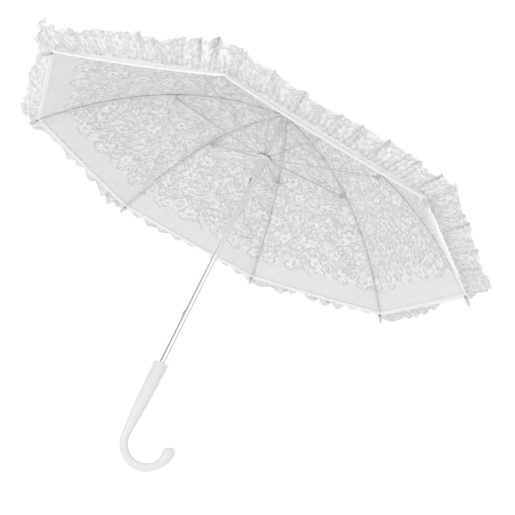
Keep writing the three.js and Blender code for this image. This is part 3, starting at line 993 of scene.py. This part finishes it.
def stretcher_mesh():
    """A wire with a flattened eye at the runner and a fork round the rib's lug."""
    far = math.hypot(LUG_R - PIVOT_R, LUG_Z - RUNNER_Z)
    rise = math.atan2(LUG_Z - RUNNER_Z, LUG_R - PIVOT_R)
    wire = turned_mesh("wire", [(0, 0.003), (0.001, 0.0035), (0.001, far - 0.007), (0, far - 0.0068)], 20)
    wire.transform(Matrix.Rotation(math.pi / 2, 4, "Y"))
    fork = joined(
        box_mesh("fork", (far - 0.009, -FORK_HALF, -FORK_R), (far, FORK_HALF, FORK_R)),
        [cross_pin_mesh("end", far, 0, FORK_R, 2 * FORK_HALF)],
    )
    gap = LUG_THICK / 2 + SIDE_GAP
    fork = cut(fork, [box_mesh("gap", (far - 0.003, -gap, -0.004), (far + 0.004, gap, 0.004))])
    mesh = with_holes(joined(wire, [*eye_parts(0, 0), fork]), (0, 0), (far, 0))
    mesh.transform(Matrix.Translation((PIVOT_R, 0, RUNNER_Z)) @ Matrix.Rotation(-rise, 4, "Y"))
    return mesh


def rivet_mesh():
    """A pin with a low dome at each end, outside the fork's cheeks."""
    half = FORK_HALF + SIDE_GAP
    head, rise = 0.0017, 0.0008
    dome = [(head * math.cos(a), rise * math.sin(a)) for a in np.linspace(0, math.pi / 2, 6)]
    profile = [(r, -half - z) for r, z in reversed(dome)]
    profile += [(RIVET_R, -half), (RIVET_R, half)]
    profile += [(r, half + z) for r, z in dome]
    profile[0] = (0, profile[0][1])
    profile[-1] = (0, profile[-1][1])
    mesh = turned_mesh("rivet", profile, 28)
    mesh.transform(Matrix.Translation((LUG_R, 0, LUG_Z)) @ Matrix.Rotation(math.pi / 2, 4, "X"))
    return mesh


def tip_mesh():
    """A moulded cap on the rib's spike, with a collar and a round nose."""
    start, long, r = 0.0016, 0.014, 0.0030
    nose = [
        (r * 0.82 * math.cos(a), start + long - 0.0022 + 0.0022 * math.sin(a))
        for a in np.linspace(0, math.pi / 2, 7)
    ]
    profile = [
        (0, start + 0.009), (0.0013, start + 0.009), (0.0013, start), (r - 0.0005, start),
        (r - 0.0001, start + 0.0003), (r, start + 0.0008), (r, start + 0.0020),
        (r - 0.0004, start + 0.0025), (r - 0.0004, start + 0.0033), (r - 0.0001, start + 0.0038),
        *nose,
    ]
    profile[-1] = (0, profile[-1][1])
    mesh = turned_mesh("tip", profile, 32)
    mesh.transform(Matrix.Rotation(math.pi / 2, 4, "Y"))
    return along_rib(mesh, RIM_R)


def ring_mesh(name, radius, wire, sides=96, around=14):
    profile = [
        (radius + wire * math.cos(a), wire * math.sin(a))
        for a in np.linspace(0, 2 * math.pi, around + 1)
    ]
    profile[-1] = profile[0]
    return turned_mesh(name, profile, sides)


def gallery_tools(z, low, high):
    """The eight slots and the wire groove of a gallery, to be cut from it."""
    tools = []
    for k in range(RIBS):
        slot = box_mesh("slot", (SLOT_FROM_R, -SLOT_HALF, low), (0.016, SLOT_HALF, high))
        slot.transform(Matrix.Rotation(rib_azimuth(k), 4, "Z"))
        tools.append(slot)
    inner, outer, half = PIVOT_R - EYE_HOLE_R, 0.0135, EYE_HOLE_R
    tools.append(turned_mesh("groove", [
        (inner, z - half), (outer, z - half), (outer, z + half), (inner, z + half), (inner, z - half),
    ], 96))
    return tools


def bore_tool(z0, z1, radius=BORE_R):
    return turned_mesh("bore", [(0, z0), (radius, z0), (radius, z1), (0, z1)], 48)


def eyelet_mesh():
    """White rings pressed over both heads of the rivet."""
    rings = []
    for face in (-1, 1):
        ring = ring_mesh("eyelet", 0.0026, 0.00085, 40, 12)
        ring.transform(Matrix.Translation((LUG_R, 0, LUG_Z)) @ Matrix.Rotation(math.pi / 2, 4, "X")
                       @ Matrix.Translation((0, 0, face * 0.0031)))
        rings.append(ring)
    return shade(joined(rings[0], rings[1:]))


def tie_mesh(r):
    """A few turns of thread that tie the seam to the rib at r."""
    points = []
    for a in np.linspace(0, 2 * math.pi * 3, 61):
        reach = 0.0021 * math.cos(a)
        drop = 0.0023 * math.sin(a) + 0.0006
        points.append((-0.0006 + 0.0012 * a / (6 * math.pi), reach, drop))
    vertices, quads = tube_along(points, 0.00025)
    return along_rib(new_mesh("tie", vertices, quads), r)


def notch_mesh():
    low, high = NOTCH_Z - GALLERY_HALF, NOTCH_Z + GALLERY_HALF
    body = turned_mesh("notch", [
        (0, low - 0.008), (0.0056, low - 0.008), (0.0062, low - 0.0074), (0.0064, low - 0.0065),
        (0.0064, low), (GALLERY_R, low), (GALLERY_R, high), (0, high),
    ], 96)
    tools = gallery_tools(NOTCH_Z, low - 0.001, high + 0.001)
    return eased(cut(body, [*tools, bore_tool(low - 0.01, high + 0.002)]), 0.00022)


def runner_mesh():
    low, high = RUNNER_Z - GALLERY_HALF, RUNNER_Z + GALLERY_HALF
    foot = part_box("runner")[0].z
    body = turned_mesh("runner", [
        (0, foot), (0.0068, foot), (0.0073, foot + 0.0003), (0.0076, foot + 0.0012),
        (0.0076, foot + 0.004), (0.0073, foot + 0.0046), (0.0073, foot + 0.0056),
        (0.0077, foot + 0.0062), (0.0080, low - 0.007), (0.0084, low - 0.0055),
        (0.0092, low - 0.0038), (0.0105, low - 0.0015), (GALLERY_R, low), (GALLERY_R, high),
        (0.0066, high), (0.0064, high + 0.0024), (0.0060, high + 0.003), (0, high + 0.003),
    ], 96)
    wide = CATCH_SLOT_HALF
    groove = box_mesh("groove", (0, -wide, foot - 0.002), (0.0065, wide, high + 0.005))
    window = box_mesh("window", (0, -wide, foot + 0.008), (0.0125, wide, foot + 0.029))
    for tool in (groove, window):
        tool.transform(Matrix.Rotation(CATCH_AZIMUTH, 4, "Z"))
    tools = gallery_tools(RUNNER_Z, low, high + 0.004)
    bore = bore_tool(foot - 0.002, high + 0.005, BORE_R + 0.00005)
    return eased(cut(body, [*tools, bore, groove, window]), 0.00022)


def shaft_mesh():
    low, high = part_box("shaft")[0].z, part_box("shaft")[1].z
    inner = SHAFT_BORE_R
    tube = turned_mesh("shaft", [
        (inner, low), (SHAFT_R, low), (SHAFT_R, high), (inner, high), (inner, low),
    ], 64)
    hook, clear = 0.0048, 0.0003
    tools = []
    for node, below, above in (("top_catch", hook, clear), ("bottom_catch", -clear, -hook)):
        z0, z1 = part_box(node)[0].z + below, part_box(node)[1].z + above
        slot = box_mesh("slot", (0.001, -CATCH_SLOT_HALF, z0), (0.006, CATCH_SLOT_HALF, z1))
        slot.transform(Matrix.Rotation(CATCH_AZIMUTH, 4, "Z"))
        tools.append(slot)
    return eased(cut(tube, tools), 0.00012, 1)


# ---- Handle ----

GRIP_R, BAR_R, BEND_R, BEND_Z, KNOB_R = 0.0115, 0.0064, 0.0345, -0.070, 0.0096
CROOK_SWEEP = math.radians(194)
SOCKET_DEPTH, GRIP_ROUND = 0.077, 0.0018


def handle_mesh():
    """One moulding: a tapering grip, the crook, and a swollen round end."""
    straight = GRIP_TOP_Z - BEND_Z
    total = straight + BEND_R * CROOK_SWEEP
    sides = 64

    def place(s):
        if s <= straight:
            return (0.0, GRIP_TOP_Z - s), (0.0, -1.0)
        a = (s - straight) / BEND_R
        return (BEND_R * (1 - math.cos(a)), BEND_Z - BEND_R * math.sin(a)), (math.sin(a), -math.cos(a))

    def radius(s):
        t = min(s / straight, 1.0)
        ease = t ** 1.5 * (1 - 0.18 * math.sin(math.pi * t))
        r = GRIP_R + (BAR_R - GRIP_R) * ease
        return r + (KNOB_R - BAR_R) * float(ramp(s - total, -0.030, -0.006))

    lip = GRIP_ROUND
    stations = [(SOCKET_DEPTH, BORE_R), (0.0004, BORE_R), (0.0, BORE_R + 0.0003), (0.0, GRIP_R - lip)]
    for a in np.linspace(0, math.pi / 2, 7)[1:]:
        stations.append((lip * (1 - math.cos(a)), GRIP_R - lip + lip * math.sin(a)))
    end_round, proud = 0.0088, 0.0006
    for s in np.linspace(0.004, total - end_round, 130):
        stations.append((float(s), radius(float(s))))
    last = radius(total - end_round)
    for a in np.linspace(0, math.pi / 2, 14)[1:-1]:
        stations.append((total - end_round + (end_round + proud) * math.sin(a), last * math.cos(a)))
    points = []
    for s, r in stations:
        (x, z), (tx, tz) = place(s)
        for i in range(sides):
            a = 2 * math.pi * i / sides
            n, y = r * math.cos(a), r * math.sin(a)
            points.append((x - n * tz, y, z + n * tx))
    count = len(stations)
    faces = grid_quads(count, sides, wrap=True).tolist()
    top = len(points)
    (x, z), (tx, tz) = place(total)
    points.append((0, 0, GRIP_TOP_Z - SOCKET_DEPTH))
    points.append((x + proud * tx, 0, z + proud * tz))
    for i in range(sides):
        j = (i + 1) % sides
        faces.append((i, j, top))
        faces.append((top + 1, (count - 1) * sides + j, (count - 1) * sides + i))
    return shade(face_mesh("handle", points, faces), math.radians(50))


def ferrule_mesh():
    z, top = (corner.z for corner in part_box("ferrule"))
    profile = [
        (BORE_R, z + 0.012), (BORE_R, z), (0.0074, z), (0.0079, z + 0.0003), (0.0080, z + 0.0008),
        (0.0080, z + 0.0018), (0.0077, z + 0.0022), (0.0066, z + 0.0036), (0.0062, z + 0.0046),
        (0.0060, z + 0.0062), (0.0057, z + 0.0066), (0.0057, z + 0.0074), (0.0060, z + 0.0078),
        (0.0047, top - 0.0060), (0.0046, top - 0.0018), (0.0043, top - 0.0007), (0.0034, top), (0, top),
    ]
    return turned_mesh("ferrule", [(0, z + 0.012), *profile], 64)


def washer_mesh():
    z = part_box("canopy_washer")[0].z
    return turned_mesh("washer", [
        (BORE_R, z), (0.0170, z), (0.0172, z + 0.0003), (0.0170, z + 0.0007), (0.0120, z + 0.0011),
        (0.0095, z + 0.0015), (0.0085, z + 0.0016), (BORE_R, z + 0.0016), (BORE_R, z),
    ], 72)


# ---- Building it ----


def add_hard_parts():
    def piece(name, mesh, body, material, nodes):
        mesh.name = name
        return finish_piece(object_of(name, mesh), body, material, nodes)

    piece("moulded_handle", handle_mesh(), ROOT, PLASTIC, ["crook_handle"])
    piece("shaft_tube", shaft_mesh(), ROOT, CHROME, ["shaft"])
    piece("moulded_notch", notch_mesh(), ROOT, PLASTIC, ["top_notch"])
    piece("moulded_ferrule", ferrule_mesh(), ROOT, PLASTIC, ["ferrule"])
    piece("moulded_washer", washer_mesh(), ROOT, PLASTIC, ["canopy_washer"])
    piece("moulded_runner", runner_mesh(), "runner", PLASTIC, ["runner"])
    for name, body, z, node in (
        ("notch_wire_ring", ROOT, NOTCH_Z, "notch_wire"),
        ("runner_wire_ring", "runner", RUNNER_Z, "runner_wire"),
    ):
        ring = ring_mesh(name, PIVOT_R, WIRE_R)
        ring.transform(Matrix.Translation((0, 0, z)))
        piece(name, ring, body, STEEL, [node])
    rib, stretcher, rivet, tip = rib_mesh(), stretcher_mesh(), rivet_mesh(), tip_mesh()
    eyelet, ties = eyelet_mesh(), [tie_mesh(r) for r in (0.105, 0.255, 0.345)]
    for k in range(RIBS):
        n, azimuth = k + 1, rib_azimuth(k)
        for mesh, name, body, material, slot, node in (
            (rib, f"steel_rib_{n}", f"rib_{n}", STEEL, "rib_steel", f"rib_{n}"),
            (stretcher, f"steel_stretcher_{n}", f"stretcher_{n}", WIRE_STEEL, "rib_steel", f"stretcher_{n}"),
            (rivet, f"round_rivet_{n}", f"rib_{n}", CHROME, "shaft_chrome", f"joint_rivet_{n}"),
            (tip, f"moulded_tip_{n}", f"rib_{n}", TIP_PLASTIC, "white_plastic", f"rib_tip_{n}"),
        ):
            piece(name, turned_to(mesh, azimuth), body, material, [node])
        piece(f"eyelet_{n}", turned_to(eyelet, azimuth), f"rib_{n}", PLASTIC, [])
        for i, tie in enumerate(ties):
            piece(f"tie_{n}_{i + 1}", turned_to(tie, azimuth), f"rib_{n}", THREAD, [])
    for mesh in (rib, stretcher, rivet, tip, eyelet, *ties):
        bpy.data.meshes.remove(mesh)
    for node, material in (("handle_pin", CHROME), ("top_catch", SPRING), ("bottom_catch", SPRING)):
        data = frame["nodes"][node].data
        data.materials.clear()
        data.materials.append(material)


def add_cloth():
    for k in range(RIBS):
        canopy = canopy_sector(k)
        hem = hem_strip(k)
        stitches = hem_stitches(k)
        ruffle = ruffle_sector(k)
        for obj in (canopy, hem, stitches, ruffle):
            folds_with(obj, k)


# ---- Camera, floor and light ----

CAMERA_PLACE = (0.115, -1.2508, -0.1162)
CAMERA_AHEAD = (-0.0412, 0.9568, 0.2879)
CAMERA_UP = (-0.4249, -0.2775, 0.8616)
CAMERA_LENS_MM = 57.65
WORLD_STRENGTH = 1.15
FLOOR_Z, FLOOR_HALF = -0.85, 3.2
FLAG_FOOT_Z = -0.6


def add_camera():
    data = bpy.data.cameras.new("camera")
    data.sensor_width = 36.0
    data.lens = CAMERA_LENS_MM
    data.clip_end = 50
    camera = object_of("camera", data)
    back = -Vector(CAMERA_AHEAD).normalized()
    right = Vector(CAMERA_UP).cross(back).normalized()
    turn = Matrix((right, back.cross(right), back)).transposed().to_4x4()
    camera.matrix_world = Matrix.Translation(CAMERA_PLACE) @ turn
    bpy.context.scene.camera = camera


def add_floor():
    half, z = FLOOR_HALF, FLOOR_Z
    corners = [(-half, -half, z), (half, -half, z), (half, half, z), (-half, half, z)]
    mesh = face_mesh("floor", corners, [(0, 1, 2, 3)])
    floor = object_of("floor", mesh)
    s = Surface("floor_paint")
    soft = s.noise(2.0, 2.0)
    s.set(Base_Color=s.mix(soft, (0.86, 0.86, 0.86), (0.9, 0.9, 0.9)), Roughness=0.9)
    mesh.materials.append(s.material)


def add_area_light(name, place, target, size, power):
    data = bpy.data.lights.new(name, "AREA")
    data.shape = "DISK"
    data.size = size
    data.energy = power
    light = object_of(name, data)
    light.location = place
    light.rotation_euler = (Vector(target) - Vector(place)).to_track_quat("-Z", "Y").to_euler()
    light.visible_camera = False


def add_flag(name, start, end, top):
    """A dark upright card that only shows in reflections, for the edges of the bright tube."""
    corners = [(*start, FLAG_FOOT_Z), (*end, FLAG_FOOT_Z), (*end, top), (*start, top)]
    mesh = face_mesh(name, corners, [(0, 1, 2, 3)])
    flag = object_of(name, mesh)
    s = Surface(name)
    mesh.materials.append(s.set(Base_Color=(0.27, 0.25, 0.24), Roughness=0.9))
    flag.visible_camera = False
    flag.visible_diffuse = False
    flag.visible_shadow = False


def add_light():
    world = bpy.data.worlds.new("studio")
    world.use_nodes = True
    background = world.node_tree.nodes["Background"]
    background.inputs["Color"].default_value = (1, 1, 1, 1)
    background.inputs["Strength"].default_value = WORLD_STRENGTH
    bpy.context.scene.world = world
    add_area_light("key", place=(-1.2, -1.0, 2.0), target=(0, 0, 0.4), size=1.2, power=4)
    add_area_light("low", place=(-1.1, -1.3, -0.3), target=(0.05, 0.05, 0.42), size=0.5, power=3.5)
    add_flag("flag_left", start=(-0.48, -0.93), end=(-0.6, 0.8), top=0.42)
    add_flag("flag_right", start=(1.0, -0.15), end=(0.6, 0.8), top=0.9)
    view = bpy.context.scene.view_settings
    view.view_transform = "Standard"
    view.look = "None"


add_camera()
add_floor()
add_light()
add_hard_parts()
add_cloth()

bpy.context.view_layer.update()
